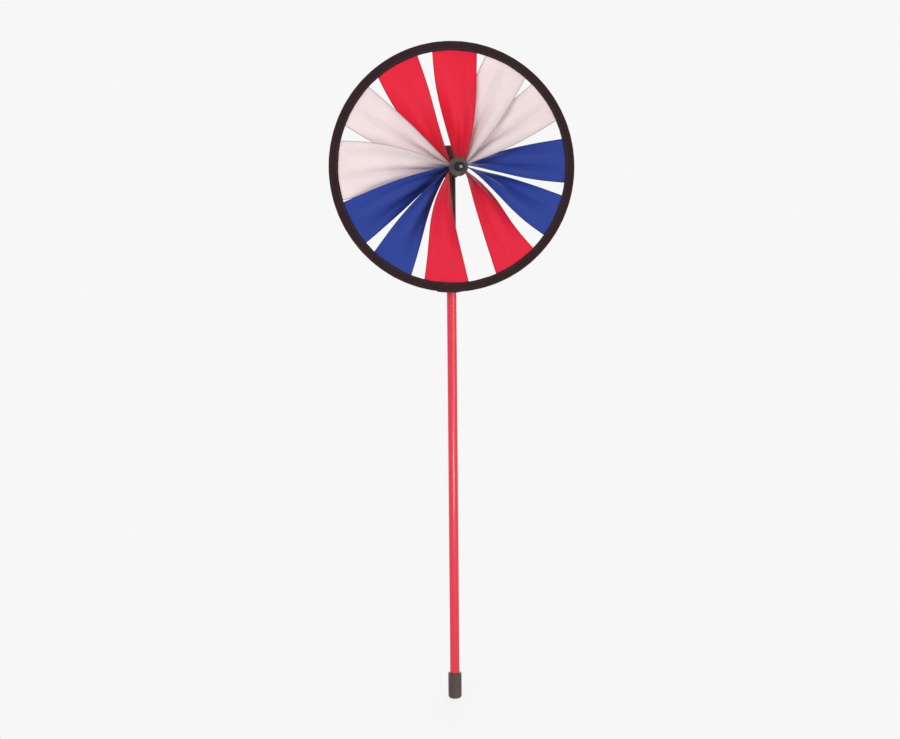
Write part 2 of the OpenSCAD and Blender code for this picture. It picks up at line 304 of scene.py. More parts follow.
# ---- Finishes ----
def cloth_finish(name, colour, cloth, glow):
    """Plain-woven polyester: fine threads, hot-cut edges, painted shade in the hollows of its folds, and
    light that comes through it.
    """
    material, tree, shader, output = new_finish(name)
    flat = node(tree, "ShaderNodeUVMap", uv_map="cloth").outputs[0]
    place = node(tree, "ShaderNodeSeparateXYZ", {0: flat})
    threads = TURN / cloth.thread_pitch
    warp = sums(tree, "SINE", sums(tree, "MULTIPLY", place.outputs[0], threads))
    weft = sums(tree, "SINE", sums(tree, "MULTIPLY", place.outputs[1], threads))
    weave = sums(tree, "MULTIPLY", warp, weft)
    cloudy = node(tree, "ShaderNodeTexNoise", {"Vector": flat, "Scale": 45.0, "Detail": 3.0})
    slubs = node(tree, "ShaderNodeTexNoise", {
        "Vector": node(tree, "ShaderNodeMapping", {"Vector": flat, "Scale": (900, 60, 1)}).outputs[0],
        "Scale": 1.0, "Detail": 2.0})
    edge = node(tree, "ShaderNodeAttribute", attribute_name="edge").outputs["Fac"]
    valley = node(tree, "ShaderNodeAttribute", attribute_name="valley").outputs["Fac"]
    base = colour_mix(tree, share(tree, cloudy.outputs[0], 0.3, 0.7), rgba(colour, 0.94), rgba(colour))
    base = colour_mix(tree, sums(tree, "MULTIPLY", slubs.outputs[0], 0.12), base, rgba(colour, 0.8))
    # Painted shade: the hollows of the folds are darkened towards a deeper copy of the colour
    base = colour_mix(tree, sums(tree, "MULTIPLY", valley, 0.35), base, rgba(colour, 0.55))
    sealed = share(tree, edge, cloth.edge_seal, cloth.edge_seal * 0.4)
    base = colour_mix(tree, sums(tree, "MULTIPLY", sealed, 0.55), base, rgba(colour, 0.35))
    tree.links.new(base, shader.inputs["Base Color"])
    dull = sums(tree, "MULTIPLY_ADD", cloudy.outputs[0], 0.2, 0.45)
    tree.links.new(sums(tree, "SUBTRACT", dull, sums(tree, "MULTIPLY", sealed, 0.2)),
                   shader.inputs["Roughness"])
    shader.inputs["Sheen Weight"].default_value = 0.05
    shader.inputs["Sheen Roughness"].default_value = 0.4
    shader.inputs["Specular IOR Level"].default_value = 0.2
    height = sums(tree, "ADD", weave, sums(tree, "MULTIPLY", slubs.outputs[0], 0.8))
    bump = node(tree, "ShaderNodeBump", {"Height": height, "Strength": 0.35, "Distance": 0.03 * MM})
    tree.links.new(bump.outputs[0], shader.inputs["Normal"])
    through = node(tree, "ShaderNodeBsdfTranslucent", {"Color": base, "Normal": bump.outputs[0]})
    both = node(tree, "ShaderNodeMixShader", {0: glow, 1: shader.outputs[0], 2: through.outputs[0]})
    tree.links.new(both.outputs[0], output.inputs["Surface"])
    return material


def tape_finish(name, cloth):
    """Woven binding tape: fine ribs across it with a painted highlight on their crests, and light wear on
    its outer fold.
    """
    material, tree, shader, _ = new_finish(name)
    flat = node(tree, "ShaderNodeUVMap", uv_map="cloth").outputs[0]
    place = node(tree, "ShaderNodeSeparateXYZ", {0: flat})
    ribs = sums(tree, "SINE", sums(tree, "MULTIPLY", place.outputs[1], TURN / cloth.tape_rib))
    ends = sums(tree, "SINE", sums(tree, "MULTIPLY", place.outputs[0], TURN / (cloth.tape_rib * 0.7)))
    weave = sums(tree, "ADD", ribs, sums(tree, "MULTIPLY", ends, 0.4))
    cloudy = node(tree, "ShaderNodeTexNoise", {"Vector": flat, "Scale": 70.0, "Detail": 4.0})
    fluff = node(tree, "ShaderNodeTexNoise", {"Vector": flat, "Scale": 900.0, "Detail": 2.0})
    wear = node(tree, "ShaderNodeAttribute", attribute_name="wear").outputs["Fac"]
    black = tuple(cloth.tape_colour)
    base = colour_mix(tree, share(tree, cloudy.outputs[0], 0.35, 0.7), rgba(black, 0.8), rgba(black, 1.15))
    # Painted highlight: the crests of the ribs are made lighter
    base = colour_mix(tree, share(tree, weave, 0.6, 1.6), base, rgba(black, 1.7))
    worn = sums(tree, "MULTIPLY", wear, share(tree, fluff.outputs[0], 0.45, 0.75))
    base = colour_mix(tree, sums(tree, "MULTIPLY", worn, 0.5), base, rgba(black, 3.2))
    tree.links.new(base, shader.inputs["Base Color"])
    tree.links.new(sums(tree, "MULTIPLY_ADD", cloudy.outputs[0], 0.2, 0.66), shader.inputs["Roughness"])
    shader.inputs["Sheen Weight"].default_value = 0.06
    shader.inputs["Sheen Roughness"].default_value = 0.5
    shader.inputs["Specular IOR Level"].default_value = 0.18
    height = sums(tree, "ADD", weave, fluff.outputs[0])
    bump = node(tree, "ShaderNodeBump", {"Height": height, "Strength": 0.5, "Distance": 0.06 * MM})
    tree.links.new(bump.outputs[0], shader.inputs["Normal"])
    return material


def thread_finish(name, colour):
    """Spun sewing thread, with its twist."""
    material, tree, shader, _ = new_finish(name)
    place = node(tree, "ShaderNodeTexCoord").outputs["Object"]
    twist = node(tree, "ShaderNodeTexNoise", {"Vector": place, "Scale": 4000.0, "Detail": 1.0})
    base = colour_mix(tree, share(tree, twist.outputs[0], 0.35, 0.65), rgba(colour, 0.6), rgba(colour, 1.4))
    tree.links.new(base, shader.inputs["Base Color"])
    tree.links.new(sums(tree, "MULTIPLY_ADD", twist.outputs[0], 0.2, 0.45), shader.inputs["Roughness"])
    shader.inputs["Sheen Weight"].default_value = 0.2
    bump = node(tree, "ShaderNodeBump", {"Height": twist.outputs[0], "Strength": 0.5, "Distance": 0.05 * MM})
    tree.links.new(bump.outputs[0], shader.inputs["Normal"])
    return material


def tube_finish(name, colour, gloss, scuff):
    """A glossy drawn tube: faint lines along it, small scuffs, and a duller bloom in places."""
    material, tree, shader, _ = new_finish(name)
    place = node(tree, "ShaderNodeTexCoord").outputs["Object"]
    long_way = node(tree, "ShaderNodeMapping", {"Vector": place, "Scale": (1, 1, 0.03)}).outputs[0]
    lines = node(tree, "ShaderNodeTexNoise", {"Vector": long_way, "Scale": 2600.0, "Detail": 3.0})
    bloom = node(tree, "ShaderNodeTexNoise", {"Vector": place, "Scale": 55.0, "Detail": 5.0})
    nicks = node(tree, "ShaderNodeTexNoise", {"Vector": place, "Scale": 420.0, "Detail": 6.0,
                                              "Roughness": 0.7})
    base = colour_mix(tree, share(tree, lines.outputs[0], 0.3, 0.7), rgba(colour, 0.93), rgba(colour, 1.04))
    worn = sums(tree, "MULTIPLY", share(tree, nicks.outputs[0], 0.62, 0.72),
                share(tree, bloom.outputs[0], 0.5, 0.7))
    base = colour_mix(tree, sums(tree, "MULTIPLY", worn, scuff), base, rgba(colour, 1.5))
    tree.links.new(base, shader.inputs["Base Color"])
    rough = sums(tree, "MULTIPLY_ADD", bloom.outputs[0], 0.12, gloss)
    tree.links.new(sums(tree, "ADD", rough, sums(tree, "MULTIPLY", worn, 0.25)), shader.inputs["Roughness"])
    shader.inputs["Specular IOR Level"].default_value = 0.4
    shader.inputs["Coat Weight"].default_value = 0.1
    shader.inputs["Coat Roughness"].default_value = 0.15
    bump = node(tree, "ShaderNodeBump", {"Height": sums(tree, "SUBTRACT", lines.outputs[0], worn),
                                         "Strength": 0.25, "Distance": 0.04 * MM})
    tree.links.new(bump.outputs[0], shader.inputs["Normal"])
    return material


def vinyl_finish(name, colour):
    """Soft moulded vinyl: a satin skin with a fine grain, flow lines and a little dust."""
    material, tree, shader, _ = new_finish(name)
    place = node(tree, "ShaderNodeTexCoord").outputs["Object"]
    grain = node(tree, "ShaderNodeTexNoise", {"Vector": place, "Scale": 2200.0, "Detail": 3.0})
    flow = node(tree, "ShaderNodeTexNoise", {"Vector": place, "Scale": 160.0, "Detail": 5.0,
                                             "Distortion": 0.6})
    dust = sums(tree, "MULTIPLY", share(tree, flow.outputs[0], 0.55, 0.75),
                share(tree, grain.outputs[0], 0.4, 0.7))
    base = colour_mix(tree, share(tree, flow.outputs[0], 0.3, 0.7), rgba(colour, 0.85), rgba(colour, 1.2))
    base = colour_mix(tree, sums(tree, "MULTIPLY", dust, 0.35), base, rgba(colour, 4.0))
    tree.links.new(base, shader.inputs["Base Color"])
    tree.links.new(sums(tree, "MULTIPLY_ADD", flow.outputs[0], 0.25, 0.34), shader.inputs["Roughness"])
    shader.inputs["Specular IOR Level"].default_value = 0.45
    bump = node(tree, "ShaderNodeBump", {"Height": grain.outputs[0], "Strength": 0.3, "Distance": 0.05 * MM})
    tree.links.new(bump.outputs[0], shader.inputs["Normal"])
    return material


def turned_finish(name, colour, rough, shine=0.45):
    """Moulded plastic with the mould's turning rings round the axle, and rubbed high spots."""
    material, tree, shader, _ = new_finish(name)
    place = node(tree, "ShaderNodeTexCoord").outputs["Object"]
    centred = node(tree, "ShaderNodeMapping", {"Vector": place, "Location": (0, 0, -AXLE_Z)}).outputs[0]
    parts = node(tree, "ShaderNodeSeparateXYZ", {0: centred})
    from_axle = sums(tree, "SQRT", sums(tree, "ADD",
                                        sums(tree, "POWER", parts.outputs[0], 2.0),
                                        sums(tree, "POWER", parts.outputs[2], 2.0)))
    rings = sums(tree, "SINE", sums(tree, "MULTIPLY", from_axle, TURN / (0.35 * MM)))
    grain = node(tree, "ShaderNodeTexNoise", {"Vector": place, "Scale": 1500.0, "Detail": 4.0})
    patch = node(tree, "ShaderNodeTexNoise", {"Vector": place, "Scale": 240.0, "Detail": 4.0})
    base = colour_mix(tree, share(tree, patch.outputs[0], 0.35, 0.7), rgba(colour, 0.8), rgba(colour, 1.3))
    rubbed = sums(tree, "MULTIPLY", share(tree, grain.outputs[0], 0.5, 0.7),
                  share(tree, patch.outputs[0], 0.5, 0.7))
    base = colour_mix(tree, sums(tree, "MULTIPLY", rubbed, 0.4), base, rgba(colour, 2.6))
    tree.links.new(base, shader.inputs["Base Color"])
    tree.links.new(sums(tree, "MULTIPLY_ADD", patch.outputs[0], 0.2, rough), shader.inputs["Roughness"])
    shader.inputs["Specular IOR Level"].default_value = shine
    height = sums(tree, "ADD", sums(tree, "MULTIPLY", rings, 0.5), grain.outputs[0])
    bump = node(tree, "ShaderNodeBump", {"Height": height, "Strength": 0.25, "Distance": 0.03 * MM})
    tree.links.new(bump.outputs[0], shader.inputs["Normal"])
    return material


def metal_finish(name, colour, rough):
    """Drawn metal with fine scratches and a few duller spots."""
    material, tree, shader, _ = new_finish(name)
    place = node(tree, "ShaderNodeTexCoord").outputs["Object"]
    stretched = node(tree, "ShaderNodeMapping", {"Vector": place, "Scale": (1, 0.05, 1)}).outputs[0]
    scratches = node(tree, "ShaderNodeTexNoise", {"Vector": stretched, "Scale": 3000.0, "Detail": 3.0})
    spots = node(tree, "ShaderNodeTexNoise", {"Vector": place, "Scale": 500.0, "Detail": 4.0})
    base = colour_mix(tree, share(tree, spots.outputs[0], 0.55, 0.75), rgba(colour), rgba(colour, 0.6))
    tree.links.new(base, shader.inputs["Base Color"])
    shader.inputs["Metallic"].default_value = 1.0
    tree.links.new(sums(tree, "MULTIPLY_ADD", scratches.outputs[0], 0.2, rough), shader.inputs["Roughness"])
    bump = node(tree, "ShaderNodeBump", {"Height": scratches.outputs[0], "Strength": 0.2,
                                         "Distance": 0.02 * MM})
    tree.links.new(bump.outputs[0], shader.inputs["Normal"])
    return material


# ---- Sizes and colours a user would change ----
def colour_prop(name, description, default):
    """A colour with the usual range."""
    return FloatVectorProperty(name=name, description=description, default=default,
                               size=3, min=0.0, max=1.0, subtype="COLOR")


def length_prop(name, description, millimetres):
    """A length, shown in the scene's units."""
    return FloatProperty(name=name, description=description, default=millimetres * MM,
                         min=0.0, unit="LENGTH", precision=5)


class PINWHEEL_PG_cloth(bpy.types.PropertyGroup):
    """The petals' cloth and the tape."""
    cloth_t: length_prop("Cloth thickness", "Thickness of a petal's cloth", 0.3)
    thread_pitch: length_prop("Thread pitch", "Distance between the cloth's threads", 0.45)
    edge_seal: length_prop("Sealed edge", "Width of the darker line where an edge was cut hot", 0.9)
    billow: length_prop("Billow", "How far the middle of a petal swells forwards", 1.2)
    fold_scale: FloatProperty(name="Folds", description="Height of the soft folds, as a multiple",
                              default=1.0, min=0.0, max=2.0)
    red: colour_prop("Red", "Colour of the red petals", (0.79, 0.015, 0.05))
    white: colour_prop("White", "Colour of the white petals", (0.86, 0.755, 0.76))
    blue: colour_prop("Blue", "Colour of the blue petals", (0.022, 0.05, 0.30))
    tape_t: length_prop("Tape thickness", "Thickness of the binding tape", 0.5)
    tape_rib: length_prop("Tape ribs", "Distance between the tape's ribs", 0.55)
    tape_colour: colour_prop("Tape", "Colour of the tape and of the hub's cloth", (0.020, 0.0065, 0.008))
    tape_lap: length_prop("Tape lap", "How far the tape's ends overlap at the bottom", 14)


class PINWHEEL_PG_sewing(bpy.types.PropertyGroup):
    """Stitches and bindings."""
    pitch: length_prop("Stitch pitch", "Distance from one stitch to the next", 2.9)
    length: length_prop("Stitch length", "Length of thread that shows in each stitch", 2.1)
    thread_d: length_prop("Thread", "Diameter of the sewing thread", 0.3)
    inset: length_prop("Seam inset", "Distance from the tape's inner edge to the seam", 1.3)
    wrap_d: length_prop("Binding thread", "Diameter of the thread wound round the hub", 0.4)
    wraps: IntProperty(name="Turns", description="Turns of thread in each binding", default=5, min=1)
    colour: colour_prop("Thread", "Colour of the thread", (0.03, 0.02, 0.024))


class PINWHEEL_PG_finish(bpy.types.PropertyGroup):
    """Colours of the hard parts."""
    tube: colour_prop("Tube", "Colour of the stake's tube", (0.64, 0.018, 0.042))
    neck: colour_prop("Neck", "Colour of the tube behind the wheel", (0.03, 0.02, 0.022))
    vinyl: colour_prop("Vinyl", "Colour of the two caps", (0.052, 0.028, 0.026))
    plastic: colour_prop("Plastic", "Colour of the hub and its discs", (0.05, 0.043, 0.04))
    knob: colour_prop("Knob", "Colour of the knob", (0.012, 0.01, 0.01))
    steel: colour_prop("Steel", "Colour of the axle pin", (0.3, 0.29, 0.29))
    hoop: colour_prop("Hoop", "Colour of the hoop rod inside the tape", (0.75, 0.73, 0.66))


class PINWHEEL_PG_stage(bpy.types.PropertyGroup):
    """Camera, floor and lights."""
    lens: FloatProperty(name="Lens", description="Focal length of the camera", default=65.19,
                        min=10.0, subtype="DISTANCE_CAMERA")
    away: length_prop("Distance", "Level distance from the camera to the stake's axis", 1350)
    height: length_prop("Height", "Height of the camera above the stake's lower end", 419)
    azimuth: FloatProperty(name="Azimuth", description="How far the camera stands round to the left",
                           default=math.radians(9.59), subtype="ANGLE")
    pitch: FloatProperty(name="Pitch", description="How far the camera looks down",
                         default=math.radians(5.955), subtype="ANGLE")
    roll: FloatProperty(name="Roll", description="Tilt of the camera about its own line of sight",
                        default=math.radians(-0.502), subtype="ANGLE")
    yaw: FloatProperty(name="Yaw", description="How far the camera is turned off the stake's axis",
                       default=math.radians(-0.081), subtype="ANGLE")
    floor_r: length_prop("Floor", "Radius of the floor", 30000)
    pale: FloatProperty(name="Backdrop", description="Brightness of the floor and the backdrop",
                        default=0.93, min=0.0, max=1.0)


# ---- Petals ----
def petal_places(petal, u, t):
    """Places of the middle of a petal's cloth, before its folds. u runs from its rear edge to its
    front edge and t from the rim to the hub. Also gives how far each is along its free length."""
    inner_r = WHEEL_R - RIM_W
    end_r = inner_r + SEAM_IN
    flat_share = SEAM_IN / (end_r - SLEEVE_FRONT_R) + 0.004
    rise = np.clip((t - flat_share) / (1 - flat_share), 0, 1)
    s_hub = mix(SLEEVE_BACK + HUB_INSET, SLEEVE_FRONT - HUB_INSET, u)
    rim = ring(end_r, mix(*petal.rim, u))
    hub = ring(sleeve_r(s_hub), mix(*petal.hub, u))
    inwards = unit(hub - rim)
    clockwise = np.stack([-inwards[..., 1], inwards[..., 0]], -1)
    full = mix(-petal.full[0], petal.full[1], u) * np.sin(np.pi * rise)
    full = full + mix(-petal.lean[0], petal.lean[1], u) * np.sin(TURN * rise)
    xy = mix(rim, hub, t[..., None]) + (full * MM)[..., None] * clockwise
    return wheel_place(xy, mix(HOOP_S, s_hub, rise)), rise


def petal_relief(petal, u, rise, cloth, seed):
    """Height of the folds, the billow and the gathers over a petal's cloth, forwards from its middle."""
    free = np.sin(np.pi * rise) ** 0.8
    height = cloth.billow * free * np.sin(np.pi * u)
    for at_rim, at_hub, high, wide, peak in petal.folds:
        off = (u - mix(at_rim, at_hub, rise)) / wide
        along = np.sin(np.pi * rise ** (math.log(0.5) / math.log(peak)))
        height = height + cloth.fold_scale * high * MM * along * np.exp(-np.abs(off) ** 1.6)
    gathers = np.sin(TURN * (3.5 * u + 0.15 * seed) + 1.5 * np.sin(3 * rise))
    height = height + 0.45 * MM * gathers * rise**3 * (1 - 0.6 * rise**8)
    waves = soft_noise(u * 3.5, rise * 4.5, seed) + 0.4 * soft_noise(u * 9, rise * 11, seed + 50)
    return height + 0.28 * MM * waves * np.minimum(1, rise * 5) * (1 - rise) ** 0.3


def make_petal(index, cloth, finishes):
    """One petal, cut, folded and sewn in its place."""
    petal = PETALS[index]
    name = PETAL_NAMES[index]
    t, u = np.meshgrid(np.linspace(0, 1, PETAL_ALONG + 1), np.linspace(0, 1, PETAL_ACROSS + 1),
                       indexing="ij")
    middle, rise = petal_places(petal, u, t)
    forwards = unit(np.cross(np.gradient(middle, axis=0), np.gradient(middle, axis=1)))
    forwards *= -np.sign(forwards[..., 1:2].mean())
    height = petal_relief(petal, u, rise, cloth, index)
    middle = middle + forwards * height[..., None]
    across = np.linalg.norm(np.diff(middle, axis=1), axis=-1).sum(1)
    along = np.linalg.norm(np.diff(middle[:, ::PETAL_ACROSS // 2], axis=0), axis=-1).sum(0).mean()
    flat = np.stack([(u - 0.5) * across[:, None], t * along], -1)
    edge = np.minimum(u, 1 - u) * across[:, None]
    smooth = height
    for _ in range(30):
        padded = np.pad(smooth, 1, mode="edge")
        smooth = (padded[2:, 1:-1] + padded[:-2, 1:-1] + padded[1:-1, 2:] + padded[1:-1, :-2]) / 4
    # Painted shade: how far each point lies below its smoothed folds, which darkens the cloth there
    valley = np.clip((smooth - height) / (0.12 * MM), 0, 1) * 0.35
    piece = thick_sheet(name + "_cloth", middle, cloth.cloth_t, flat, {"edge": edge, "valley": valley})
    piece.data.materials.append(finishes[petal.colour])
    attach(piece, "wheel")
    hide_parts(name)
    return piece


class PINWHEEL_OT_petals(bpy.types.Operator):
    """Makes the twelve cloth petals between the rim and the hub"""
    bl_idname = "pinwheel.petals"
    bl_label = "Petals"

    def execute(self, context):
        cloth = context.scene.pinwheel_cloth
        finishes = {
            "red": cloth_finish("red_petal_cloth", tuple(cloth.red), cloth, 0.28),
            "white": cloth_finish("white_petal_cloth", tuple(cloth.white), cloth, 0.38),
            "blue": cloth_finish("blue_petal_cloth", tuple(cloth.blue), cloth, 0.2),
        }
        for index in range(len(PETALS)):
            make_petal(index, cloth, finishes)
        return {"FINISHED"}


# ---- Rim ----
TAPE_STEPS = 1080        # steps round the rim
LEG_STEPS = 8            # steps over each flat leg of the tape
BEND_STEPS = 16          # steps round its fold
LEG_S = 0.62 * MM        # depth of a leg's inner edge, from the middle of the rim
BOTTOM = math.pi         # the tape's ends meet at the bottom of the wheel
LAP_RISE = (0.6, 0.1)    # where the upper end climbs on to the lower one, as shares of the lap
LAP_LIFT = 1.15          # how far it is lifted there, in thicknesses of tape


def tape_profile(tape_t):
    """The middle line of the folded tape, as radius from the rod's ring and depth: from the front
    leg's inner edge, round the outside, to the back leg's inner edge."""
    bend_r = FOLD_R - tape_t / 2
    inner_r = FOLD_R - RIM_W
    start = np.array([inner_r, LEG_S])
    reach = np.linalg.norm(start)
    lean = math.atan2(LEG_S, inner_r) - math.acos(bend_r / reach)
    turn = np.linspace(lean, -lean, BEND_STEPS)
    bend = np.stack([bend_r * np.cos(turn), bend_r * np.sin(turn)], -1)
    leg = mix(start, bend[0], np.linspace(0, 1, LEG_STEPS + 1)[:-1, None])
    back = leg[::-1] * [1, -1]
    return np.concatenate([leg, bend, back])


def seam_depth(cloth, sewing):
    """How far the tape's outside stands from the middle of the rim along its seam."""
    leg = tape_profile(cloth.tape_t)[[0, LEG_STEPS]]
    along = sewing.inset / (leg[1, 0] - leg[0, 0])
    return mix(leg[0, 1], leg[1, 1], along) + cloth.tape_t * 0.5


def make_tape(cloth, sewing, finish):
    """Tape folded over the hoop, pulled in along its seam, with one end lapped over the other."""
    profile = tape_profile(cloth.tape_t)
    steps = np.linalg.norm(np.diff(profile, axis=0), axis=1)
    width_at = np.concatenate([[0], np.cumsum(steps)])
    outward = unit(np.gradient(profile, axis=0))
    outward = np.stack([-outward[:, 1], outward[:, 0]], -1)
    lap = cloth.tape_lap / WHEEL_R
    a = BOTTOM + np.linspace(0, TURN + lap, TAPE_STEPS)[:, None]
    past = (a - BOTTOM - TURN) / lap
    ramp = np.clip((past + LAP_RISE[0]) / (LAP_RISE[0] - LAP_RISE[1]), 0, 1)
    lift = ramp * ramp * (3 - 2 * ramp) * cloth.tape_t * LAP_LIFT
    from_edge = np.minimum(width_at, width_at[-1] - width_at)[None]
    near_edge = np.exp(-from_edge / (2.2 * MM))
    dimple = np.exp(-((from_edge - sewing.inset) / (0.7 * MM)) ** 2)
    side = np.sign(profile[None, :, 1])
    stitch = np.cos(a * (WHEEL_R - RIM_W) / sewing.pitch * TURN)
    swell = 0.09 * near_edge * soft_noise(a * 26, side, 5) + 0.06 * soft_noise(a * 60, width_at * 500, 8)
    swell = swell - dimple * (0.07 + 0.05 * stitch) + 0.05 * near_edge * stitch
    swell = swell * MM + lift
    r = ROD_RING_R + profile[None, :, 0] + outward[None, :, 0] * swell
    r = r + 0.16 * MM * near_edge * soft_noise(a * 19, side, 21)
    s = HOOP_S + profile[None, :, 1] + outward[None, :, 1] * swell
    middle = wheel_place(np.stack([r * np.sin(a), r * np.cos(a)], -1), s)
    flat = np.stack([np.broadcast_to(width_at, r.shape), np.broadcast_to(a * WHEEL_R, r.shape)], -1)
    wear = np.broadcast_to(np.clip(profile[:, 0] / FOLD_R, 0, 1) ** 2, r.shape)
    piece = thick_sheet("rim_tape", middle, cloth.tape_t, flat, {"wear": wear})
    piece.data.materials.append(finish)
    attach(piece, "wheel")
    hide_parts("rim_binding")
    return piece, (float(width_at[-1]), float((TURN + lap) * WHEEL_R))


# ---- Threads, made with Geometry Nodes ----
def new_tree(name, inputs):
    """A Geometry Nodes tree with named inputs. Gives the tree, its inputs by name, and a function
    that ends it: its pieces become one mesh with the thread's material."""
    tree = bpy.data.node_groups.new(name, "GeometryNodeTree")
    tree.interface.new_socket("Geometry", in_out="OUTPUT", socket_type="NodeSocketGeometry")
    for key, kind in inputs.items():
        tree.interface.new_socket(key, in_out="INPUT", socket_type=f"NodeSocket{kind}")
    entry = node(tree, "NodeGroupInput")
    sockets = {key: entry.outputs[key] for key in inputs}

    def end(geometry):
        whole = node(tree, "GeometryNodeRealizeInstances", {0: geometry})
        smooth = node(tree, "GeometryNodeSetShadeSmooth", {"Geometry": whole.outputs[0]})
        made = node(tree, "GeometryNodeSetMaterial", {"Geometry": smooth.outputs[0],
                                                      "Material": sockets["Material"]})
        node(tree, "NodeGroupOutput", {0: made.outputs[0]})

    return tree, sockets, end


def on_axle(tree, geometry, turn, s):
    """Turns geometry about X, so that its Z runs along the axle, and puts it at depth s."""
    place = node(tree, "ShaderNodeCombineXYZ", {"Y": sums(tree, "MULTIPLY", s, -1.0), "Z": AXLE_Z})
    angle = node(tree, "ShaderNodeCombineXYZ", {"X": turn})
    return node(tree, "GeometryNodeTransform", {"Geometry": geometry, "Translation": place.outputs[0],
                                                "Rotation": angle.outputs[0]}).outputs[0]


def lap_offset(tree, given):
    """Lifts the stitches that go through both of the tape's ends, at the bottom of the wheel."""
    place = node(tree, "ShaderNodeSeparateXYZ", {0: node(tree, "GeometryNodeInputPosition").outputs[0]})
    x, y = place.outputs[0], place.outputs[1]
    climb = node(tree, "ShaderNodeMapRange", {
        "Value": x, "From Min": sums(tree, "MULTIPLY", given["Lap"], LAP_RISE[0]),
        "From Max": sums(tree, "MULTIPLY", given["Lap"], LAP_RISE[1])}, interpolation_type="SMOOTHSTEP")
    before_end = sums(tree, "GREATER_THAN", x, sums(tree, "MULTIPLY", given["Lap"], -1.0))
    below_axle = sums(tree, "LESS_THAN", sums(tree, "MULTIPLY", y, given["Turn"]), 0.0)
    raised = sums(tree, "MULTIPLY", climb.outputs[0], given["Lap Lift"])
    raised = sums(tree, "MULTIPLY", raised, sums(tree, "MULTIPLY", before_end, below_axle))
    return node(tree, "ShaderNodeCombineXYZ", {"Z": raised}).outputs[0]


def stitch_tree():
    """A ring of stitches that bulge away from the cloth and dive into it at their ends."""
    tree, given, end = new_tree("seam_stitches", {
        "Ring Radius": "Float", "Depth": "Float", "Turn": "Float", "Count": "Int", "Lap": "Float",
        "Lap Lift": "Float", "Stitch Length": "Float", "Thread": "Float", "Seed": "Int",
        "Material": "Material"})
    half = sums(tree, "MULTIPLY", given["Stitch Length"], 0.5)
    sunk = sums(tree, "MULTIPLY", given["Thread"], -0.7)
    start = node(tree, "ShaderNodeCombineXYZ", {"X": sums(tree, "MULTIPLY", half, -1.0), "Z": sunk})
    finish = node(tree, "ShaderNodeCombineXYZ", {"X": half, "Z": sunk})
    top = node(tree, "ShaderNodeCombineXYZ", {"Z": sums(tree, "MULTIPLY", given["Thread"], 1.3)})
    arch = node(tree, "GeometryNodeCurveQuadraticBezier", {
        "Resolution": 6, "Start": start.outputs[0], "Middle": top.outputs[0], "End": finish.outputs[0]})
    thread = node(tree, "GeometryNodeCurvePrimitiveCircle", {
        "Resolution": 6, "Radius": sums(tree, "MULTIPLY", given["Thread"], 0.5)})
    stitch = node(tree, "GeometryNodeCurveToMesh", {
        "Curve": arch.outputs[0], "Profile Curve": thread.outputs[0], "Fill Caps": True})
    level = node(tree, "GeometryNodeCurvePrimitiveCircle", {
        "Resolution": given["Count"], "Radius": given["Ring Radius"]})
    seam = node(tree, "GeometryNodeSetPosition", {
        "Geometry": level.outputs[0], "Offset": lap_offset(tree, given)})
    way = node(tree, "FunctionNodeAlignRotationToVector", {
        "Vector": node(tree, "GeometryNodeInputTangent").outputs[0]}, axis="X", pivot_axis="Z")
    uneven = node(tree, "FunctionNodeRandomValue", {"Min": (0.86, 0.9, 0.85), "Max": (1.06, 1.1, 1.1),
                                                    "Seed": given["Seed"]}, data_type="FLOAT_VECTOR")
    row = node(tree, "GeometryNodeInstanceOnPoints", {
        "Points": seam.outputs[0], "Instance": stitch.outputs[0], "Rotation": way.outputs[0],
        "Scale": uneven.outputs[0]})
    end(on_axle(tree, row.outputs[0], given["Turn"], given["Depth"]))
    return tree


def winding_tree():
    """Thread wound round the axle in touching turns, on a slight cone."""
    tree, given, end = new_tree("hub_winding", {
        "Turns": "Float", "Start Radius": "Float", "End Radius": "Float", "Depth": "Float",
        "Thread": "Float", "Material": "Material"})
    height = sums(tree, "MULTIPLY", given["Turns"], given["Thread"])
    coil = node(tree, "GeometryNodeCurveSpiral", {
        "Resolution": 48, "Rotations": given["Turns"], "Start Radius": given["Start Radius"],
        "End Radius": given["End Radius"], "Height": height})
    thread = node(tree, "GeometryNodeCurvePrimitiveCircle", {
        "Resolution": 8, "Radius": sums(tree, "MULTIPLY", given["Thread"], 0.5)})
    wound = node(tree, "GeometryNodeCurveToMesh", {
        "Curve": coil.outputs[0], "Profile Curve": thread.outputs[0], "Fill Caps": True})
    end(on_axle(tree, wound.outputs[0], math.pi / 2, given["Depth"]))
    return tree


def grown_piece(name, tree, values):
    """Runs a tree with these inputs, and gives its result as a plain mesh piece."""
    seed = new_piece(name + "_seed", [(0, 0, 0)], [])
    modifier = seed.modifiers.new(name, "NODES")
    modifier.node_group = tree
    for item in tree.interface.items_tree:
        if item.in_out == "INPUT":
            modifier[item.identifier] = values[item.name]
    bpy.context.view_layer.update()
    ready = seed.evaluated_get(bpy.context.evaluated_depsgraph_get())
    mesh = bpy.data.meshes.new_from_object(ready)
    if not mesh.polygons:
        raise RuntimeError(f"{name} came out empty")
    bpy.data.objects.remove(seed)
    mesh.name = name
    piece = bpy.data.objects.new(name, mesh)
    bpy.context.scene.collection.objects.link(piece)
    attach(piece, "wheel")
    return piece


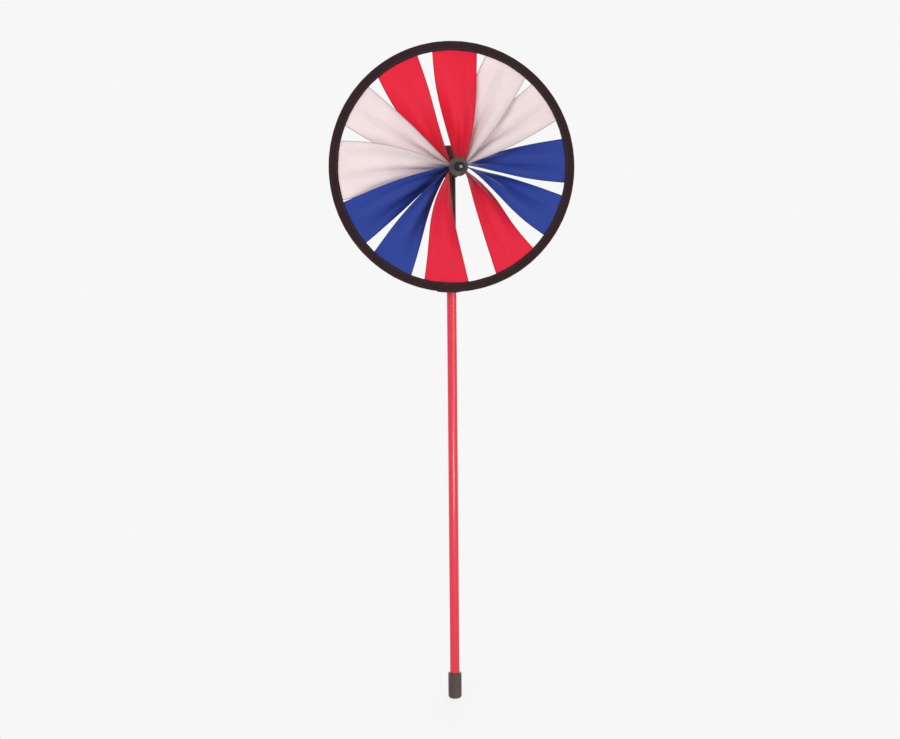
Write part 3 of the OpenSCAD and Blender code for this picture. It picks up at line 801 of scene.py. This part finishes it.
class PINWHEEL_OT_rim(bpy.types.Operator):
    """Binds the hoop in folded tape and sews it down, front and back"""
    bl_idname = "pinwheel.rim"
    bl_label = "Rim tape and seams"

    def execute(self, context):
        cloth = context.scene.pinwheel_cloth
        sewing = context.scene.pinwheel_sewing
        tape, flat = make_tape(cloth, sewing, tape_finish("binding_tape", cloth))
        thread = thread_finish("sewing_thread", tuple(sewing.colour))
        tree = stitch_tree()
        ring_r = WHEEL_R - RIM_W + sewing.inset
        off = seam_depth(cloth, sewing)
        for name, way, seed in (("rim_stitches_front", 1, 3), ("rim_stitches_back", -1, 4)):
            grown_piece(name, tree, {
                "Ring Radius": ring_r, "Depth": HOOP_S + way * off, "Turn": way * math.pi / 2,
                "Count": round(TURN * ring_r / sewing.pitch), "Stitch Length": sewing.length,
                "Lap": cloth.tape_lap * ring_r / WHEEL_R, "Lap Lift": cloth.tape_t * LAP_LIFT,
                "Thread": sewing.thread_d, "Seed": seed, "Material": thread})
        return {"FINISHED"}


# ---- Hub ----
COLLAR_TURNS = 1.12      # the collar's strip goes once round and laps a little
PLEATS = 22              # small gathers round the collar
COLLAR_ROUND = 420       # steps round it
COLLAR_LONG = 40         # steps along it
BINDINGS = (0.12, 0.9)   # where the threads bind it, as shares of its length


def make_collar(cloth, sewing, finish):
    """A strip of cloth gathered round the sleeve, pinched where threads bind it."""
    a, k = np.meshgrid(np.linspace(0, TURN * COLLAR_TURNS, COLLAR_ROUND),
                       np.linspace(0, 1, COLLAR_LONG), indexing="ij")
    s = mix(COLLAR_BACK, COLLAR_FRONT, k)
    pinch = sum(np.exp(-((k - b) / 0.06) ** 2) for b in BINDINGS)
    pleat = np.sin(PLEATS * a + 1.2 * soft_noise(a, k * 2, 4) + 0.5 * np.sin(5 * k))
    lift = np.clip((a - TURN + 0.5) / 0.45, 0, 1) * cloth.tape_t * 0.9
    stand = 0.34 + 0.13 * pleat * (1 - 0.75 * pinch) - 0.1 * pinch + 0.05 * soft_noise(a * 3, k * 9, 7)
    r = sleeve_r(s) + stand * MM + lift
    middle = wheel_place(np.stack([r * np.sin(a), r * np.cos(a)], -1), s)
    flat = np.stack([s - COLLAR_BACK, a * sleeve_r(s)], -1)
    wear = np.clip(pleat, 0, 1) * 0.6
    piece = thick_sheet("hub_collar_cloth", middle, cloth.tape_t * 0.8, flat, {"wear": wear})
    piece.data.materials.append(finish)
    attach(piece, "wheel")
    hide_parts("hub_collar")
    around = float(np.linalg.norm(np.diff(middle, axis=0), axis=-1).sum(0).mean())
    return piece, (COLLAR_FRONT - COLLAR_BACK, around)


class PINWHEEL_OT_hub(bpy.types.Operator):
    """Wraps the hub's sleeve in its gathered collar and binds it with thread"""
    bl_idname = "pinwheel.hub"
    bl_label = "Hub collar and bindings"

    def execute(self, context):
        cloth = context.scene.pinwheel_cloth
        sewing = context.scene.pinwheel_sewing
        collar, flat = make_collar(cloth, sewing, tape_finish("collar_cloth", cloth))
        thread = thread_finish("binding_thread", tuple(sewing.colour))
        tree = winding_tree()
        long_way = sewing.wraps * sewing.wrap_d
        for name, at in zip(("hub_binding_rear", "hub_binding_front"), BINDINGS):
            start = mix(COLLAR_BACK, COLLAR_FRONT, at) - long_way / 2
            over = 0.55 * MM + sewing.wrap_d / 2
            grown_piece(name, tree, {
                "Turns": float(sewing.wraps), "Start Radius": sleeve_r(start) + over,
                "End Radius": sleeve_r(start + long_way) + over, "Depth": start,
                "Thread": sewing.wrap_d, "Material": thread})
        return {"FINISHED"}


# ---- Finishes of the hard parts ----
class PINWHEEL_OT_finishes(bpy.types.Operator):
    """Gives the tubes, caps, hub, knob, pin and hoop their finishes"""
    bl_idname = "pinwheel.finishes"
    bl_label = "Finishes of the hard parts"

    def execute(self, context):
        colours = context.scene.pinwheel_finish
        plastic = tuple(colours.plastic)
        by_finish = [
            (tube_finish("red_tube", tuple(colours.tube), 0.16, 0.35), ["pole"]),
            (tube_finish("black_tube", tuple(colours.neck), 0.3, 0.5), ["neck_tube"]),
            (vinyl_finish("cap_vinyl", tuple(colours.vinyl)), ["bottom_cap", "head_cap"]),
            (turned_finish("hub_plastic", plastic, 0.42), ["rear_hub", "hub_sleeve", "front_hub"]),
            (turned_finish("ring_plastic", rgba(plastic, 0.8)[:3], 0.35),
             ["front_washer", "rear_spacer"]),
            (turned_finish("knob_plastic", tuple(colours.knob), 0.34, 0.2), ["nose_knob"]),
            (turned_finish("plug_plastic", rgba(plastic, 1.4)[:3], 0.5), ["pole_joiner"]),
            (metal_finish("dull_steel", tuple(colours.steel), 0.4), ["axle_pin", "hoop_ferrule"]),
            (tube_finish("hoop_fibre", tuple(colours.hoop), 0.3, 0.1), ["hoop_rod"]),
        ]
        for finish, names in by_finish:
            for name in names:
                for place in frame["nodes"][name].material_slots:
                    place.material = finish
        return {"FINISHED"}


# ---- Stage ----
def pale_finish(name, brightness):
    """The floor's pale paint, as bright as the backdrop, with a soft shadow near the stake."""
    material, tree, shader, output = new_finish(name)
    place = node(tree, "ShaderNodeTexCoord").outputs["Object"]
    away = node(tree, "ShaderNodeVectorMath", {0: place}, operation="LENGTH").outputs["Value"]
    near = share(tree, away, 0.3, 0.05)
    shader.inputs["Base Color"].default_value = rgba((0.8, 0.8, 0.8))
    shader.inputs["Roughness"].default_value = 0.9
    glow = node(tree, "ShaderNodeEmission", {"Color": rgba((1, 1, 1)), "Strength": brightness})
    both = node(tree, "ShaderNodeMixShader", {0: sums(tree, "MULTIPLY", near, 0.12),
                                              1: glow.outputs[0], 2: shader.outputs[0]})
    tree.links.new(both.outputs[0], output.inputs["Surface"])
    return material


def lamp(name, place, aim, size, watts, tint=(1, 1, 1)):
    """A soft rectangular light that the camera doesn't see."""
    light = bpy.data.lights.new(name, "AREA")
    light.shape = "RECTANGLE"
    light.size, light.size_y = size
    light.energy = watts
    light.color = tint
    made = bpy.data.objects.new(name, light)
    made.location = place
    made.rotation_mode = "QUATERNION"
    made.rotation_quaternion = (Vector(aim) - Vector(place)).to_track_quat("-Z", "Y")
    made.visible_camera = False
    bpy.context.scene.collection.objects.link(made)
    return made


def make_camera(stage):
    """A camera to the left of the wheel's front, near the axle's height and looking slightly down."""
    a, look = stage.azimuth, stage.azimuth + stage.yaw
    forwards = Vector((math.sin(look) * math.cos(stage.pitch), math.cos(look) * math.cos(stage.pitch),
                       -math.sin(stage.pitch)))
    right = Vector((math.cos(look), -math.sin(look), 0))
    up = right.cross(forwards)
    c, s = math.cos(stage.roll), math.sin(stage.roll)
    turned = Matrix((right * c + up * s, up * c - right * s, -forwards)).transposed().to_4x4()
    camera = bpy.data.objects.new("camera", bpy.data.cameras.new("camera"))
    camera.data.lens = stage.lens
    camera.data.clip_start, camera.data.clip_end = 0.05, 100
    place = Vector((-stage.away * math.sin(a), -stage.away * math.cos(a), stage.height))
    camera.matrix_world = Matrix.Translation(place) @ turned
    bpy.context.scene.collection.objects.link(camera)
    bpy.context.scene.camera = camera
    return camera


def make_world(brightness, light):
    """An even pale backdrop that gives a gentler light than it shows."""
    world = bpy.data.worlds.new("pale_room")
    world.use_nodes = True
    tree = world.node_tree
    tree.nodes.clear()
    seen = node(tree, "ShaderNodeBackground", {"Color": rgba((1, 1, 1)), "Strength": brightness})
    lit = node(tree, "ShaderNodeBackground", {"Color": rgba((0.98, 0.99, 1)), "Strength": light})
    path = node(tree, "ShaderNodeLightPath").outputs["Is Camera Ray"]
    both = node(tree, "ShaderNodeMixShader", {0: path, 1: lit.outputs[0], 2: seen.outputs[0]})
    node(tree, "ShaderNodeOutputWorld", {"Surface": both.outputs[0]})
    bpy.context.scene.world = world


class PINWHEEL_OT_stage(bpy.types.Operator):
    """Sets up the floor, the backdrop, the lights and the camera"""
    bl_idname = "pinwheel.stage"
    bl_label = "Stage"

    def execute(self, context):
        stage = context.scene.pinwheel_stage
        steps = 64
        rim = [(stage.floor_r * math.cos(TURN * k / steps), stage.floor_r * math.sin(TURN * k / steps),
                FOOT_Z - 0.2 * MM) for k in range(steps)]
        floor = new_piece("floor", rim, [tuple(range(steps))], smooth=False)
        floor.data.materials.append(pale_finish("pale_floor", stage.pale))
        make_world(stage.pale, 0.58)
        aim = (0, 0, 0.35)
        lamp("key", (-0.9, -1.7, 1.1), aim, (0.8, 0.8), 18)
        lamp("fill", (0.9, -1.5, 0.15), aim, (1.0, 0.8), 11)
        lamp("back", (0.6, 1.5, 1.2), aim, (1.2, 1.2), 22)
        low = lamp("low_strip", (0.03, -0.6, 0.0925), (0, 0, 0.15), (0.15, 0.06), 0.1, (0.2, 1, 0.9))
        low.data.spread = math.radians(50)
        make_camera(stage)
        context.scene.view_settings.view_transform = "Standard"
        return {"FINISHED"}


# ---- Panel and run ----
OPERATORS = [PINWHEEL_OT_stage, PINWHEEL_OT_finishes, PINWHEEL_OT_rim, PINWHEEL_OT_hub,
             PINWHEEL_OT_petals]
GROUPS = {
    "pinwheel_cloth": PINWHEEL_PG_cloth,
    "pinwheel_sewing": PINWHEEL_PG_sewing,
    "pinwheel_finish": PINWHEEL_PG_finish,
    "pinwheel_stage": PINWHEEL_PG_stage,
}


class PINWHEEL_PT_panel(bpy.types.Panel):
    """Lists the pinwheel's sizes, colours and pieces"""
    bl_label = "Stake pinwheel"
    bl_idname = "PINWHEEL_PT_panel"
    bl_space_type = "VIEW_3D"
    bl_region_type = "UI"
    bl_category = "Pinwheel"

    def draw(self, context):
        for key, group in GROUPS.items():
            box = self.layout.box()
            box.label(text=group.__doc__)
            for name in group.__annotations__:
                box.prop(getattr(context.scene, key), name)
        for operator in OPERATORS:
            self.layout.operator(operator.bl_idname)


def register():
    for group in GROUPS.values():
        bpy.utils.register_class(group)
    for operator in OPERATORS:
        bpy.utils.register_class(operator)
    bpy.utils.register_class(PINWHEEL_PT_panel)
    for key, group in GROUPS.items():
        setattr(bpy.types.Scene, key, PointerProperty(type=group))


def unregister():
    for key in GROUPS:
        delattr(bpy.types.Scene, key)
    bpy.utils.unregister_class(PINWHEEL_PT_panel)
    for operator in reversed(OPERATORS):
        bpy.utils.unregister_class(operator)
    for group in reversed(list(GROUPS.values())):
        bpy.utils.unregister_class(group)


def main():
    register()
    bpy.ops.pinwheel.stage()
    bpy.ops.pinwheel.finishes()
    bpy.ops.pinwheel.rim()
    bpy.ops.pinwheel.hub()
    bpy.ops.pinwheel.petals()


if __name__ == "__main__":
    main()
